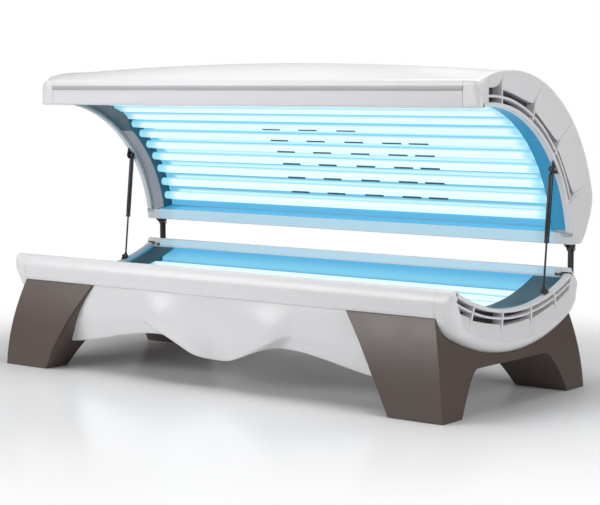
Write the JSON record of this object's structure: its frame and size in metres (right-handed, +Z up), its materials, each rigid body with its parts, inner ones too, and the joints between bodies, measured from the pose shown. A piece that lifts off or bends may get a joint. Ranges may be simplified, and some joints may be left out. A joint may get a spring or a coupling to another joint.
{
  "type": "clamshell tanning bed",
  "caption": "Clamshell tanning bed: a curved lamp bed under clear acrylic on two arched pedestals, with a hinged lamp canopy held open by gas springs.",
  "frame": {"origin": "on the floor under the middle of the whole bed's bounding box, with the canopy open", "axes": "+X along the bed to its right end, -Y towards the user at the open front, +Z up"},
  "size_m": [2.26, 1.0642, 1.2861],
  "materials": {
    "white_shell": "satin white moulding",
    "taupe_shell": "satin brown-grey moulding",
    "grey_trim": "satin grey trim",
    "clear_acrylic": "clear, polished",
    "lamp_glass": "white phosphor-coated glass, lit pale blue",
    "reflector": "bright sheet, lit blue",
    "dark_panel": "slate blue, satin",
    "black_steel": "black satin paint",
    "bright_steel": "ground steel",
    "gear_steel": "grey sheet steel",
    "fan_plastic": "black moulding"
  },
  "bodies": {
    "base": {"bed_shell": "white_shell", "bed_front_rail": "white_shell", "bed_rear_rail": "white_shell", "front_skirt": "white_shell", "bed_acrylic": "clear_acrylic", "bed_reflector": "reflector", "gear_tray": "gear_steel", "pedestal_left": "taupe_shell", "pedestal_right": "taupe_shell", "bed_end_cap_left": "white_shell", "bed_end_cap_right": "white_shell", "bed_lampholder_left": "dark_panel", "bed_lampholder_right": "dark_panel", "hinge_post_left": "black_steel", "hinge_post_right": "black_steel", "hinge_pin_left": "bright_steel", "hinge_pin_right": "bright_steel", "strut_foot_left": "black_steel", "strut_foot_right": "black_steel", "bed_lamp_01": "lamp_glass", "bed_lamp_02": "lamp_glass", "bed_lamp_03": "lamp_glass", "bed_lamp_04": "lamp_glass", "bed_lamp_05": "lamp_glass", "bed_lamp_06": "lamp_glass", "bed_lamp_07": "lamp_glass", "bed_lamp_08": "lamp_glass", "bed_lamp_09": "lamp_glass", "bed_lamp_10": "lamp_glass"},
    "canopy": {"canopy_shell": "white_shell", "canopy_front_rail": "white_shell", "canopy_rear_rail": "white_shell", "canopy_stripe": "grey_trim", "canopy_acrylic": "clear_acrylic", "canopy_reflector": "reflector", "canopy_end_cap_left": "white_shell", "canopy_end_cap_right": "white_shell", "canopy_lampholder_left": "dark_panel", "canopy_lampholder_right": "dark_panel", "hinge_lug_left": "black_steel", "hinge_lug_right": "black_steel", "strut_tab_left": "black_steel", "strut_tab_right": "black_steel", "canopy_lamp_01": "lamp_glass", "canopy_lamp_02": "lamp_glass", "canopy_lamp_03": "lamp_glass", "canopy_lamp_04": "lamp_glass", "canopy_lamp_05": "lamp_glass", "canopy_lamp_06": "lamp_glass", "canopy_lamp_07": "lamp_glass", "canopy_lamp_08": "lamp_glass", "canopy_lamp_09": "lamp_glass", "canopy_lamp_10": "lamp_glass", "canopy_lamp_11": "lamp_glass", "canopy_lamp_12": "lamp_glass"},
    "fan": {"fan_rotor": "fan_plastic"},
    "gas_cylinder_left": {"gas_spring_cylinder_left": "black_steel"},
    "gas_cylinder_right": {"gas_spring_cylinder_right": "black_steel"},
    "gas_rod_left": {"gas_spring_rod_left": "bright_steel"},
    "gas_rod_right": {"gas_spring_rod_right": "bright_steel"}
  },
  "joints": [
    {"name": "canopy_hinge", "type": "hinge", "parent": "base", "child": "canopy", "pos_m": [0, 0.4309, 0.55622], "axis": [1, 0, 0], "range_deg": [0, 36], "stiffness_Nm_per_rad": 100, "springref_deg": -148.97},
    {"name": "cylinder_pivot_left", "type": "hinge", "parent": "canopy", "child": "gas_cylinder_left", "pos_m": [-1.108, 0.24174, 0.87801], "axis": [1, 0, 0], "range_deg": [-12, 1]},
    {"name": "cylinder_pivot_right", "type": "hinge", "parent": "canopy", "child": "gas_cylinder_right", "pos_m": [1.108, 0.24174, 0.87801], "axis": [1, 0, 0], "range_deg": [-12, 1]},
    {"name": "rod_pivot_left", "type": "hinge", "parent": "base", "child": "gas_rod_left", "pos_m": [-1.108, 0.19291, 0.4099], "axis": [1, 0, 0], "range_deg": [-1, 26]},
    {"name": "rod_pivot_right", "type": "hinge", "parent": "base", "child": "gas_rod_right", "pos_m": [1.108, 0.19291, 0.4099], "axis": [1, 0, 0], "range_deg": [-1, 26]},
    {"name": "fan_spin", "type": "hinge", "parent": "base", "child": "fan", "pos_m": [0, -0.0231, 0.24], "axis": [0, 0, 1], "continuous": true}
  ],
  "couplings": [
    {"joint": "rod_pivot_left", "follows": "canopy_hinge", "ratio": 0.6886},
    {"joint": "rod_pivot_right", "follows": "canopy_hinge", "ratio": 0.6886},
    {"joint": "cylinder_pivot_left", "follows": "canopy_hinge", "ratio": -0.3114},
    {"joint": "cylinder_pivot_right", "follows": "canopy_hinge", "ratio": -0.3114}
  ]
}
